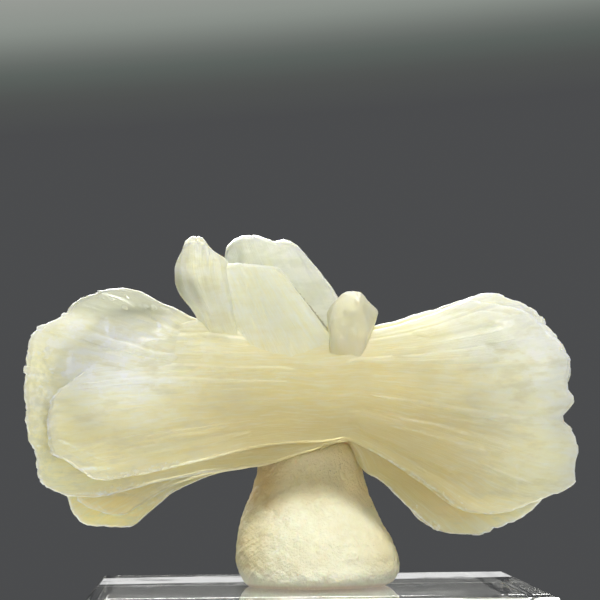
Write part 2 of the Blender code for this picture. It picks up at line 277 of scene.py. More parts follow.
def laths(plate, face, count, chance):
    """Narrow blades that lie on a face of a fan plate, front (-1) or back (1), along its streaks."""
    made = []
    lift = face * (plate.growth.thickness - LATH.thickness) / 2
    for number in range(count):
        rim = chance.choice(LATH_RIMS)
        root = chance.uniform(*LATH_ROOTS)
        along = (rim, root) if number % 2 else (1 - root, 1 - rim)
        width = chance.uniform(*LATH_WIDTHS)
        low = chance.uniform(LATH_SIDES[0], LATH_SIDES[1] - width)
        proud = lift + face * chance.uniform(*LATH_PROUD)
        growth = LATH._replace(
            point=chance.uniform(*LATH_POINTS),
            clarity=plate.growth.clarity + chance.uniform(-0.05, 0.1),
            pallor=plate.growth.pallor + chance.uniform(0.0, 0.3),
        )
        made.append(laid_on(plate, along, (low, low + width), proud, growth))
    return made


ROUND_BLADE = (0.56, 0.875), (0.10, 0.335)  # shares of the front plate's length and width
ROUND_BLADE_PROUD = 0.09


def round_ended(plate):
    """The wide blade with a rounded end that lies on the front of the right fan."""
    lift = -(plate.growth.thickness - LATH.thickness) / 2 - ROUND_BLADE_PROUD
    growth = LATH._replace(blades=6, rows=60, ragged=0.04, point=0.8, relief=0.01, pallor=0.15)
    return laid_on(plate, *ROUND_BLADE, lift, growth)


def upright_crystals():
    """The crystals that stand on the waist. Each runs from its root to its tip."""
    left_blade = outlined(
        lower=((-5.0, 12.1), (-6.6, 15.5), (-7.6, 17.0), (-7.8, 18.0), (-7.7, 18.7), (-7.3, 19.5)),
        upper=((-3.2, 12.1), (-4.2, 15.4), (-4.65, 17.6), (-4.95, 18.8), (-5.5, 19.2)),
        start=((-3.7, 11.9),),
        end=((-7.3, 19.8), (-7.0, 20.05), (-6.3, 20.05), (-5.9, 19.6)),
    )
    back_blade = outlined(
        lower=((-3.4, 12.4), (-4.8, 17.1), (-5.0, 18.8)),
        upper=((2.9, 12.3), (1.6, 16.5), (0.4, 18.4), (-0.4, 19.4)),
        start=((-0.3, 12.1),),
        end=(
            (-4.8, 19.7), (-4.3, 20.2), (-3.7, 20.4), (-2.9, 20.3), (-2.1, 20.0), (-1.5, 20.1),
            (-0.9, 19.9),
        ),
    )
    front_blade = outlined(
        lower=((-3.4, 11.9), (-4.6, 15.7), (-5.3, 18.0)),
        upper=((2.3, 12.8), (0.9, 14.6), (-0.5, 16.5), (-1.9, 18.4)),
        start=((-0.7, 12.0),),
        end=((-5.1, 18.5), (-4.1, 18.6), (-2.8, 18.5)),
    )
    left = Growth(1.1, 0.35, 0.4, 6, 54, 0.08, 0.0, 0.008, 0.25, 0.45)
    behind = Growth(1.3, 0.16, 0.7, 8, 54, 0.05, 0.0, 0.010, 0.35, 1.0)
    front = Growth(0.9, 0.16, 0.6, 7, 54, 0.03, 0.0, 0.008, 0.05, 0.45)
    return [
        Upright(left_blade, leaning(-2.05, 0.08, 0.06, (-5.5, 15.0)), left),
        Upright(back_blade, leaning(0.0, 0.10, -0.06, (-2.0, 15.0)), behind),
        Upright(front_blade, leaning(-1.95, 0.16, 0.06, (-2.0, 15.0)), front),
    ]


# ---- how plates lie in depth

# A fan plate's curl, as shares of its crown.
LOWER_CURL = 0.35  # along its lower side
LEFT_CURL = 0.6  # on the left fan
WAIST_CURL = 0.38  # at the waist
MOST_CURL = 1.3
CURL_REACH = 6.5  # how far from the waist its curl is full
SINK_Z = 8.6, 4.6  # where its upper left starts to lie back, and over how far
SINK_X = -4.5, 4.5


def splayed(fan, x, z):
    """The Y of a fan plate's middle, which curls back along its long sides."""
    left = x < WAIST[0]
    reach = np.where(left, LEFT_REACH, RIGHT_REACH)
    rim = np.where(left, fan.left, fan.right)
    share = np.minimum(1.0, np.abs(x - WAIST[0]) / reach) ** SPLAY_POWER
    half_height = WAIST_HALF_HEIGHT + (RIM_HALF_HEIGHT - WAIST_HALF_HEIGHT) * share
    curl = np.minimum(MOST_CURL, np.abs(z - WAIST[1]) / half_height) ** 2
    curl = np.where(z < WAIST[1], LOWER_CURL * curl, curl)
    off_waist = smooth_step(np.abs(x - WAIST[0]) / CURL_REACH)
    rim_curl = np.where(left, LEFT_CURL, LEFT_CURL + (1 - LEFT_CURL) * share)
    crown = fan.crown * (WAIST_CURL + (rim_curl - WAIST_CURL) * off_waist)
    sunk = smooth_step((z - SINK_Z[0]) / SINK_Z[1]) * smooth_step((SINK_X[0] - x) / SINK_X[1])
    return fan.waist + (rim - fan.waist) * share + crown * curl + fan.sink * sunk


def leaning(root, back, turn, middle):
    """The Y of an upright crystal, root at its middle: back and turn are its slopes along Z and X."""
    return lambda x, z: root + back * (z - middle[1]) + turn * (x - middle[0])


def smooth_step(value):
    """0 at 0 and below, 1 at 1 and above, smooth between."""
    value = np.clip(value, 0.0, 1.0)
    return value * value * (3 - 2 * value)


def rounding(distance, growth):
    """The share of a plate's thickness at a distance from its edge."""
    return growth.edge + (1 - growth.edge) * np.clip(distance / growth.taper, 0.0, 1.0)


# ---- blades

BLADE_WIDTHS = (0.4, 1.6)  # to each other
BLADE_COLUMNS = (0.06, 0.5, 0.94)  # where a blade has columns, across its width
TIP_FALL = 1.2  # how far along a blade its tip's own shape reaches
LEVEL_CHANCE = 0.45  # how often a blade leaves the level of the one beside it
LEVEL_SPREAD = 0.25  # how far it may be off that level
TIP_SLANT = 0.4
TIP_ROUND = 0.35  # how far a blade's tip falls back towards its sides
POINT_SHIFT = 0.4  # how far off the middle a pointed end may lie
POINT_POWER = 1.5  # how sharp it is
BLADE_TILT = 0.4  # a face's tilt and roundness, as shares of its relief
BLADE_CROWN = 0.25
POINT_THINNING = 4  # how much farther in a pointed end thins than a side
ROWS_BUNCHED = 0.4  # how much closer together the rows are towards the tips
GRAINY_FROM = -13.9  # the X from which the left rim is grainy
GRAINY_FADE = 0.8
RELIEF_START = 9.0  # how far from the waist the blades stand apart fully
RELIEF_AT_WAIST = 0.4
RELIEF_AT_RIM = 0.3
RIM_WIDTH = 0.5
FAN_STREAKS = 8.0  # the streaks' coordinate across a fan plate, and across an upright crystal
UPRIGHT_STREAKS = 4.0

# Size and height of the small unevennesses.
BENDS = 0.45, 0.035
SWAY = 1.3, 0.05
WARP = 4.0, 0.14
GRAIN = 0.33, 0.007
GRAINY_BENDS = 0.03  # added to the bends' height on the grainy rim
WARP_SEED = 9.0


def blade_widths(count, chance):
    """The edges of a plate's blades, as shares of its width."""
    widths = np.array([chance.uniform(*BLADE_WIDTHS) for _ in range(count)])
    return np.concatenate(([0.0], np.cumsum(widths) / widths.sum()))


def blade_columns(edges):
    """The columns' shares across the plate, each column's blade, and its place across it."""
    count = len(edges) - 1
    each = np.repeat(np.arange(count), len(BLADE_COLUMNS))
    blades = np.concatenate(([0], each, [count - 1]))
    places = np.concatenate(([0.0], np.tile(BLADE_COLUMNS, count), [1.0]))
    return edges[blades] + np.diff(edges)[blades] * places, blades, places


def bunched(count, spread, chance):
    """A height for each blade, from -1 to 1 times spread, with neighbours often level."""
    heights, level = [], 0.0
    for _ in range(count):
        if chance.random() < LEVEL_CHANCE:
            level = chance.uniform(-1.0, 1.0)
        heights.append(level + chance.uniform(-LEVEL_SPREAD, LEVEL_SPREAD))
    return spread * np.array(heights)


def tip_profile(b, blades, places, growth, chance):
    """How far each column's tip is drawn back from the plate's rim: each blade has its own end."""
    ragged = growth.ragged
    back = bunched(growth.blades, ragged, chance)
    slant = np.array(
        [chance.uniform(-TIP_SLANT, TIP_SLANT) * ragged for _ in range(growth.blades)]
    )
    middle = 2 * places - 1
    drawn = back[blades] + slant[blades] * middle + TIP_ROUND * ragged * middle**2
    off_centre = 2 * b - 1 + chance.uniform(-POINT_SHIFT, POINT_SHIFT)
    return drawn - drawn.min() + growth.point * np.abs(off_centre) ** POINT_POWER


def face_relief(blades, places, count, depth, chance):
    """How far each column stands out of a face: blades step and tilt."""
    step = bunched(count, depth, chance)
    tilt = np.array([chance.uniform(-BLADE_TILT, BLADE_TILT) for _ in range(count)]) * depth
    middle = 2 * places - 1
    return step[blades] + tilt[blades] * middle + BLADE_CROWN * depth * (1 - middle**2)


def stations(rows):
    """Shares along a plate, closer together towards its tips."""
    even = np.linspace(0.0, 1.0, rows)
    eased = 0.5 - 0.5 * np.cos(math.pi * even)
    return (1 - ROWS_BUNCHED) * even + ROWS_BUNCHED * eased


def wander(points, size, seed):
    """Smooth noise at each point of a grid, from -1 to 1, with features of a size in mm."""
    flat = points.reshape(-1, points.shape[-1]) / size
    values = [noise.noise(Vector((p[0], p[1], seed))) for p in flat]
    return np.array(values).reshape(points.shape[:-1])


def sideways(points, size, first, second):
    """Smooth noise in X and in Z at each point of a grid, from two seeds."""
    return np.stack((wander(points, size, first), wander(points, size, second)), axis=2)


def plate_grids(plate, is_fan, seed, chance):
    """A plate's front and back corners, and each corner's streak coordinates and nature."""
    growth = plate.growth
    b, blades, places = blade_columns(blade_widths(growth.blades, chance))
    a = stations(growth.rows)
    flat = plate.outline(a, b)

    length = norm(np.diff(flat, axis=0), axis=2)
    from_start = np.concatenate((np.zeros((1, len(b))), np.cumsum(length, axis=0)))
    to_end = from_start[-1] - from_start
    for distance, towards in ((from_start, flat[0] - flat[3]), (to_end, flat[-1] - flat[-4])):
        unit = towards / norm(towards, axis=1)[:, None]
        drawn = tip_profile(b, blades, places, growth, chance)
        fall = np.exp(-((distance / TIP_FALL) ** 2))
        flat = flat - (fall * drawn)[:, :, None] * unit[None]
    rough = smooth_step((GRAINY_FROM - flat[..., 0]) / GRAINY_FADE) * is_fan
    bends = sideways(flat, BENDS[0], seed, seed + 50.0)
    sway = sideways(flat, SWAY[0], seed + 3.0, seed + 60.0)
    flat = flat + (BENDS[1] + GRAINY_BENDS * rough)[:, :, None] * bends + SWAY[1] * sway

    x, z = flat[..., 0], flat[..., 1]
    width = norm(flat[:, -1] - flat[:, 0], axis=1)[:, None]
    side = np.minimum(b, 1 - b)[None] * width
    tip = np.minimum(from_start, to_end) if is_fan else to_end
    rim = np.minimum(side, tip)
    if is_fan:
        middle = splayed(plate, x, z)
        relief = RELIEF_AT_WAIST + (1 - RELIEF_AT_WAIST) * smooth_step(
            np.abs(x - WAIST[0]) / RELIEF_START
        )
    else:
        middle = plate.depth(x, z)
        relief = np.ones_like(x)
    middle = middle + WARP[1] * relief * wander(flat, WARP[0], WARP_SEED)
    thinning = tip / POINT_THINNING if growth.point else tip
    half = growth.thickness / 2 * rounding(thinning, growth) * rounding(side, growth)
    faces = []
    for sign in (-1.0, 1.0):
        out = face_relief(blades, places, growth.blades, growth.relief, chance)[None] * relief
        out = out * np.clip(rim / RIM_WIDTH, RELIEF_AT_RIM, 1.0)
        out = out + GRAIN[1] * rough * wander(flat, GRAIN[0], seed + 20.0 * sign)
        faces.append(np.stack((x, middle + sign * (half + out), z), axis=2))

    along = (x - WAIST[0]) if is_fan else z
    across = b[None] * (FAN_STREAKS if is_fan else UPRIGHT_STREAKS) + 0 * x
    fibre = np.stack((along, across, np.full_like(x, seed)), axis=2)
    nature = np.stack(
        (rim, np.full_like(x, growth.clarity), np.full_like(x, growth.pallor)), axis=2
    )
    return faces, fibre, nature


def plate_mesh(name, plate, is_fan, seed, chance):
    """A closed mesh of one plate, with its streak coordinates and nature on its face corners."""
    (front, back), fibre, nature = plate_grids(plate, is_fan, seed, chance)
    rows, columns = front.shape[:2]
    index = np.arange(rows * columns).reshape(rows, columns)
    count = rows * columns

    def rim_of(grid):
        return np.concatenate((grid[0], grid[1:-1, -1], grid[-1][::-1], grid[-2:0:-1, 0]))

    inner = np.clip(np.indices((rows, columns)), 1, None)
    inner = np.minimum(inner, np.array((rows - 2, columns - 2))[:, None, None])
    outward = rim_of(front - front[inner[0], inner[1]])
    outward[:, 1] = 0.0
    outward /= np.maximum(norm(outward, axis=1), 1e-6)[:, None]
    gap = norm(rim_of(back - front), axis=1)[:, None]
    ridge = rim_of((front + back) / 2) + EDGE_RIDGE * gap * outward

    corners = np.concatenate((front.reshape(-1, 3), back.reshape(-1, 3), ridge))
    corners[:, 2] += BLOCK_TOP
    quad = np.stack(
        (index[:-1, :-1], index[:-1, 1:], index[1:, 1:], index[1:, :-1]), axis=2
    ).reshape(-1, 4)
    front_rim, back_rim = rim_of(index), rim_of(index) + count
    ridge_rim = np.arange(len(ridge)) + 2 * count
    walls = [
        np.stack((np.roll(p, 1), p, q, np.roll(q, 1)), axis=1)
        for p, q in ((front_rim, ridge_rim), (ridge_rim, back_rim))
    ]
    faces = np.concatenate((quad[:, ::-1], quad + count, *walls))
    mesh = bpy.data.meshes.new(name)
    mesh.from_pydata((corners * MM).tolist(), [], faces.tolist())
    loops = np.zeros(len(mesh.loops), np.int32)
    mesh.loops.foreach_get("vertex_index", loops)
    for attribute, grid in (("fibre", fibre), ("nature", nature)):
        flat = grid.reshape(-1, 3)
        values = np.concatenate((flat, flat, rim_of(grid)))[loops]
        layer = mesh.attributes.new(attribute, "FLOAT_VECTOR", "CORNER")
        layer.data.foreach_set("vector", values.astype(np.float32).ravel())
    return mesh


def closed_outward(mesh):
    """Turn a closed mesh's faces outward."""
    bm = bmesh.new()
    bm.from_mesh(mesh)
    bmesh.ops.triangulate(bm, faces=bm.faces)
    bmesh.ops.recalc_face_normals(bm, faces=bm.faces)
    bm.to_mesh(mesh)
    bm.free()


def largest_island(mesh):
    """Leave a mesh's largest connected surface, without the slivers that a union leaves inside."""
    bm = bmesh.new()
    bm.from_mesh(mesh)
    left, islands = set(bm.verts), []
    while left:
        reached, todo = set(), [left.pop()]
        while todo:
            corner = todo.pop()
            reached.add(corner)
            for edge in corner.link_edges:
                other = edge.other_vert(corner)
                if other in left:
                    left.remove(other)
                    todo.append(other)
        islands.append(reached)
    islands.sort(key=len)
    bmesh.ops.delete(bm, geom=[v for island in islands[:-1] for v in island], context="VERTS")
    bm.to_mesh(mesh)
    bm.free()
    return mesh


# The numbers of the plates that carry laths or chips.
FRONT_LAYER, SECOND_LAYER, LOW_LAYER, TALL_LAYER, BACK_LAYER = 0, 2, 5, 8, 12

LATHS = (  # layer, face and number of laths
    (FRONT_LAYER, -1, 20), (SECOND_LAYER, -1, 6), (BACK_LAYER, 1, 20), (LOW_LAYER, -1, 4),
    (TALL_LAYER, 1, 4),
)

Chips = namedtuple("Chips", "count along across size")  # where they lie, as shares of a plate

RIM_CHIPS = (  # layer, its chips
    (SECOND_LAYER, Chips(36, (0.014, 0.05), (0.15, 0.75), (0.15, 0.4))),
    (FRONT_LAYER, Chips(70, (0.01, 0.2), (0.008, 0.05), (0.1, 0.32))),
    (SECOND_LAYER, Chips(60, (0.01, 0.2), (0.008, 0.06), (0.1, 0.32))),
    (FRONT_LAYER, Chips(24, (0.86, 0.99), (0.008, 0.05), (0.08, 0.2))),
    (SECOND_LAYER, Chips(12, (0.90, 0.99), (0.01, 0.05), (0.2, 0.4))),
    (SECOND_LAYER, Chips(16, (0.02, 0.18), (0.84, 0.97), (0.2, 0.45))),
)

# A chip: places along it from -1 to 1, each with its share of the width and of the height.
CHIP_SHAPE = (-1, 0.0, 0.3), (-0.7, 1.0, 0.8), (0.5, 1.0, 1.0), (1.0, 0.25, 0.5)
CHIP_WIDTHS = (0.3, 0.6)  # shares of its length
CHIP_HEIGHTS = (0.02, 0.06)
CHIP_ROOT = 0.25  # how far it reaches into the plate
CHIP_RIMS = (0.07, 0.5)  # how near to a rim it counts: near ones get the whiter painted edge light, far ones stay clear
CHIP_TURN = 0.35
CHIP_STREAKS = 0.3  # the streaks' coordinate across it, per mm
CHIP_STREAK_SEED = 150.0


def chip(plate, along, across, size, turn, chance):
    """A small pointed blade that lies on a plate's front, turned from the plate's streaks."""
    shares = np.array((along, min(1.0, along + 0.01))), np.array((across,))
    near, far = plate.outline(*shares)[:, 0]
    way = (far - near) / norm(far - near)
    ahead, aside = math.cos(turn), math.sin(turn)
    way = np.array((way[0] * ahead - way[1] * aside, way[0] * aside + way[1] * ahead))
    side = np.array((-way[1], way[0]))
    width = size * chance.uniform(*CHIP_WIDTHS)
    height = chance.uniform(*CHIP_HEIGHTS)
    face = float(splayed(plate, near[:1], near[1:])[0]) - plate.growth.thickness / 2
    bm = bmesh.new()
    for end, share, rise in CHIP_SHAPE:
        for hand in (-1, 1):
            x, z = near + way * end * size / 2 + side * hand * share * width / 2
            bm.verts.new(spot(x, face - height * rise, z))
            bm.verts.new(spot(x, face + CHIP_ROOT, z))
    bmesh.ops.convex_hull(bm, input=bm.verts)
    bmesh.ops.delete(bm, geom=[v for v in bm.verts if not v.link_faces], context="VERTS")
    rim = chance.choice(CHIP_RIMS)
    clarity = plate.growth.clarity + chance.uniform(-0.1, 0.4)
    return labelled(mesh_of("chip", bm), rim, clarity, chance.uniform(0.2, 0.7))


def labelled(mesh, rim, clarity, pallor):
    """Give a plain mesh the streak coordinates and nature that the plates have."""
    fibre = mesh.attributes.new("fibre", "FLOAT_VECTOR", "CORNER")
    nature = mesh.attributes.new("nature", "FLOAT_VECTOR", "CORNER")
    for loop in mesh.loops:
        x, _, z = mesh.vertices[loop.vertex_index].co / MM
        fibre.data[loop.index].vector = (z, x * CHIP_STREAKS, CHIP_STREAK_SEED)
        nature.data[loop.index].vector = (rim, clarity, pallor)
    return mesh


def rim_chips(plates, chance):
    """The small crystals that crowd some of the plates' rims."""
    made = []
    for layer, chips in RIM_CHIPS:
        for _ in range(chips.count):
            along, across = chance.uniform(*chips.along), chance.uniform(*chips.across)
            size, turn = chance.uniform(*chips.size), chance.gauss(0.0, CHIP_TURN)
            made.append(chip(plates[layer], along, across, size, turn, chance))
    return made


LITTLE_CRYSTAL = (  # its corners
    (1.2, -2.2, 12.6), (2.6, -2.2, 12.6), (2.9, -1.1, 12.8), (1.0, -1.1, 12.8),
    (0.95, -2.52, 13.3), (2.85, -2.6, 13.2), (1.0, -2.75, 15.2), (3.3, -2.68, 14.6),
    (3.75, -2.25, 15.35), (3.86, -1.9, 15.8), (2.6, -0.8, 15.6), (0.93, -1.3, 15.85),
    (1.2, -2.5, 16.2), (1.6, -2.45, 16.7), (1.95, -2.25, 16.9), (2.45, -2.3, 16.97),
    (2.85, -2.25, 16.88), (2.3, -1.5, 16.9), (3.27, -2.2, 16.35), (2.9, -2.72, 15.9),
)
LITTLE_BEVEL = 0.05
LITTLE_CUTS = 3
LITTLE_SMOOTHINGS = 6
LITTLE_LUMPS = (0.7, 1.0), (0.25, 0.5)  # size, and share of the height
LITTLE_LUMP_HEIGHT = 0.06


def little_crystal():
    """The blocky crystal with flat facets that stands in the notch over the waist."""
    bm = bmesh.new()
    for corner in LITTLE_CRYSTAL:
        bm.verts.new((Vector(corner) + Vector((0.0, 0.0, BLOCK_TOP))) * MM)
    hull = bmesh.ops.convex_hull(bm, input=bm.verts)
    inside = [g for g in hull["geom_interior"] if isinstance(g, bmesh.types.BMVert)]
    bmesh.ops.delete(bm, geom=inside, context="VERTS")
    bmesh.ops.bevel(
        bm, geom=bm.edges[:], offset=LITTLE_BEVEL * MM, segments=1, profile=0.5, affect="EDGES"
    )
    bmesh.ops.triangulate(bm, faces=bm.faces)
    bmesh.ops.subdivide_edges(bm, edges=bm.edges, cuts=LITTLE_CUTS, use_grid_fill=True)
    for _ in range(LITTLE_SMOOTHINGS):
        bmesh.ops.smooth_vert(
            bm, verts=bm.verts, factor=0.5, use_axis_x=True, use_axis_y=True, use_axis_z=True
        )
    bm.normal_update()
    for corner in bm.verts:
        lump = sum(share * noise.noise(corner.co / (size * MM)) for size, share in LITTLE_LUMPS)
        corner.co += corner.normal * LITTLE_LUMP_HEIGHT * MM * lump
    return labelled(mesh_of("little_crystal", bm), 0.5, 0.30, 0.15)


SHEAF_SEED = 11
CHIP_SEED = 5
STREAK_STEP = 7.3  # how far apart in the noise the crystals' streaks are
SHARP_ANGLE = 32  # degrees


def grown_sheaf():
    """All the crystals as one closed surface."""
    chance = random.Random(SHEAF_SEED)
    others = bpy.data.collections.new("crystals")
    bpy.context.scene.collection.children.link(others)
    plates = fan_plates()
    plates.append(round_ended(plates[FRONT_LAYER]))
    for layer, face, count in LATHS:
        plates += laths(plates[layer], face, count, chance)
    meshes = [little_crystal(), *rim_chips(plates, random.Random(CHIP_SEED))]
    for number, plate in enumerate(plates + upright_crystals()):
        is_fan = isinstance(plate, Fan)
        meshes.append(plate_mesh(f"crystal_{number}", plate, is_fan, number * STREAK_STEP, chance))
    made = []
    for mesh in meshes:
        closed_outward(mesh)
        made.append(bpy.data.objects.new(mesh.name, mesh))
    made.reverse()
    sheaf, *rest = made
    sheaf.name = "stilbite_crystals"
    bpy.context.scene.collection.objects.link(sheaf)
    for crystal in rest:
        others.objects.link(crystal)
    union = sheaf.modifiers.new("grown_together", "BOOLEAN")
    union.operation = "UNION"
    union.operand_type = "COLLECTION"
    union.collection = others
    union.solver = "MANIFOLD"
    bpy.context.view_layer.update()
    joined = bpy.data.meshes.new_from_object(
        sheaf.evaluated_get(bpy.context.evaluated_depsgraph_get())
    )
    sheaf.modifiers.clear()
    sheaf.data = largest_island(joined)
    for crystal in rest:
        bpy.data.objects.remove(crystal)
    bpy.data.collections.remove(others)
    joined.shade_smooth()
    joined.set_sharp_from_angle(angle=math.radians(SHARP_ANGLE))
    return sheaf


# ---- the putty

PUTTY_RINGS = (  # height, half width, middle's X
    (0.00, 3.90, 0.25),
    (0.12, 4.10, 0.28),
    (0.35, 4.33, 0.33),
    (0.80, 4.61, 0.38),
    (1.50, 4.68, 0.30),
    (2.50, 4.50, 0.15),
    (3.50, 4.14, 0.01),
    (4.50, 3.74, -0.11),
    (5.50, 3.29, -0.12),
    (6.30, 3.05, -0.05),
    (7.20, 2.95, 0.0),
)
PUTTY_DEPTH_AT_BASE = 0.94
PUTTY_DEPTH_AT_NECK = 0.66
PUTTY_LEAN = 0.9  # how far its neck stands behind its base
PUTTY_FOOT = 0.35  # how far its foot is spread to the front
PUTTY_LEAN_BY = 5.8  # the height at which its neck has leant all the way
PUTTY_FOOT_BY = 1.5  # the height up to which its foot is spread
PUTTY_SIDES = 380
PUTTY_ROWS = 200
PUTTY_BUNCHED = 1.15  # the power that draws its rows closer together near the block
PUTTY_CAP_RINGS = 20
PUTTY_CAP_HEIGHT = 1.7
PUTTY_TOP = 8.9  # its height where no crystal is over it
PUTTY_GAP = 0.03
PRESSED_FROM = 4.0  # the height above which crystals press it down
PRESS_REACH = 0.06  # how far around a corner the crystals' underside is looked for


def putty_mound(sheaf):
    """The flared mound of putty, its top pressed to the underside of the sheaf."""
    heights = np.array([ring[0] for ring in PUTTY_RINGS])
    profile = np.array([ring[1:] for ring in PUTTY_RINGS])
    rows = np.linspace(0.0, 1.0, PUTTY_ROWS) ** PUTTY_BUNCHED * heights[-1]
    shape = smooth_profile(heights, profile, rows)
    turn = np.arange(PUTTY_SIDES) * math.tau / PUTTY_SIDES
    lift = smooth_step(rows / PUTTY_LEAN_BY)
    depth = PUTTY_DEPTH_AT_BASE + (PUTTY_DEPTH_AT_NECK - PUTTY_DEPTH_AT_BASE) * lift
    x = shape[:, 1, None] + shape[:, 0, None] * np.cos(turn)
    middle = PUTTY_LEAN * lift - PUTTY_FOOT * (1 - smooth_step(rows / PUTTY_FOOT_BY))
    y = middle[:, None] + (shape[:, 0] * depth)[:, None] * np.sin(turn)
    z = rows[:, None] + 0 * turn
    walls = np.stack((x, y, z), axis=2)
    shares = np.cos(np.linspace(0, math.pi / 2, PUTTY_CAP_RINGS + 2))[1:-1]
    centre = walls[-1].mean(axis=0)
    cap = [
        centre + (walls[-1] - centre) * (s, s, 1) + (0, 0, PUTTY_CAP_HEIGHT * math.sqrt(1 - s * s))
        for s in shares
    ]
    points = kneaded(np.concatenate((walls, np.array(cap))))
    tree = BVHTree.FromObject(sheaf, bpy.context.evaluated_depsgraph_get())
    for p in points.reshape(-1, 3):
        if p[2] > PRESSED_FROM:
            p[2] = min(p[2], underside(tree, p[0], p[1]) - PUTTY_GAP)
    bm = bmesh.new()
    grid = [[bm.verts.new(spot(*p)) for p in row] for row in points]
    for ring, following in zip(grid, grid[1:]):
        for k in range(PUTTY_SIDES):
            bm.faces.new((ring[k - 1], ring[k], following[k], following[k - 1]))
    bm.faces.new(grid[0][::-1])
    top = bm.verts.new(spot(*points[-1].mean(axis=0)))
    for k in range(PUTTY_SIDES):
        bm.faces.new((grid[-1][k - 1], grid[-1][k], top))
    bmesh.ops.recalc_face_normals(bm, faces=bm.faces)
    return smooth_piece("putty_lump", bm)


def smooth_profile(heights, values, at):
    """Values at heights, read from a smooth curve through the known ones."""
    slopes = np.gradient(values, heights, axis=0)
    i = np.clip(np.searchsorted(heights, at, side="right") - 1, 0, len(heights) - 2)
    step = (heights[i + 1] - heights[i])[:, None]
    u = (at - heights[i])[:, None] / step
    return hermite(u, values[i], step * slopes[i], values[i + 1], step * slopes[i + 1])


LUMPS = ((3.5, 0.12), (1.2, 0.09), (0.5, 0.045), (0.22, 0.016))  # size and height
LUMP_SEED = Vector((3.1, 7.7, 1.9))
KNEADED_RADIUS = 4.0  # the radius at which the wrinkles have their true spacing
KNEADED_FROM = 0.3  # the height from which the putty is fully kneaded
WRINKLES_SEED = 40.0
WRINKLES_PATCH = 1.6  # the size of the patches in which they come and go
WRINKLES = (  # lean from upright, length, spacing, height, and side: to the left (-1) or right (1)
    (-0.9, 1.1, 0.34, 0.040, -0.6),
    (0.1, 1.6, 0.27, 0.034, 0.6),
    (1.1, 0.8, 0.45, 0.055, 0.1),
)


def kneaded(points):
    """Lumps pressed into the putty's walls, and the fine wrinkles of stretched putty."""
    out = points * (1, 1, 0)
    out /= np.maximum(norm(out, axis=2), 1e-6)[:, :, None]
    push = np.zeros(points.shape[:2])
    for size, height in LUMPS:
        flat = points.reshape(-1, 3) / size
        values = [noise.noise(Vector(p) + LUMP_SEED) for p in flat]
        push += height * np.array(values).reshape(push.shape)
    round_it = KNEADED_RADIUS * np.arctan2(points[..., 0], -points[..., 1])
    for lean, length, spacing, height, side in WRINKLES:
        across = (round_it * math.cos(lean) + points[..., 2] * math.sin(lean)) / spacing
        along = (points[..., 2] * math.cos(lean) - round_it * math.sin(lean)) / length
        lines = wander(np.stack((across, along), axis=2), 1.0, WRINKLES_SEED + lean)
        patches = 0.5 * wander(points[..., ::2], WRINKLES_PATCH, lean)
        where = smooth_step(0.5 + side * points[..., 0] / 3.0 + patches)
        push += height * where * (1 - 2 * np.abs(lines))
    low = np.clip(points[..., 2] / KNEADED_FROM, 0.0, 1.0)
    return points + out * (push * low)[:, :, None]


RAY_START = 0.2  # above the block


def underside(tree, x, y):
    """The lowest height at which the crystals lie over a point and close around it."""
    lowest = PUTTY_TOP
    for right, back in ((0, 0), (1, 0), (-1, 0), (0, 1), (0, -1)):
        start = spot(x + PRESS_REACH * right, y + PRESS_REACH * back, RAY_START)
        hit = tree.ray_cast(start, Vector((0, 0, 1)))[0]
        if hit:
            lowest = min(lowest, hit.z / MM - BLOCK_TOP)
    return lowest


def smooth_piece(name, bm):
    """A smooth-shaded object of a finished bmesh."""
    mesh = mesh_of(name, bm)
    mesh.shade_smooth()
    piece = bpy.data.objects.new(name, mesh)
    bpy.context.scene.collection.objects.link(piece)
    return piece


# ---- the block

BLOCK_BEVEL = 0.28


def clear_block():
    """The acrylic block, with polished faces and rounded edges."""
    low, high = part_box("acrylic_block")
    bm = bmesh.new()
    bmesh.ops.create_cube(bm, size=1.0)
    bmesh.ops.scale(bm, vec=high - low, verts=bm.verts)
    bmesh.ops.translate(bm, vec=(high + low) / 2, verts=bm.verts)
    bmesh.ops.bevel(
        bm, geom=bm.edges[:], offset=BLOCK_BEVEL * MM, segments=5, profile=0.5, affect="EDGES"
    )
    block = smooth_piece("clear_block", bm)
    for face in block.data.polygons:
        face.use_smooth = max(abs(n) for n in face.normal) < 0.999
    return block


# ---- materials

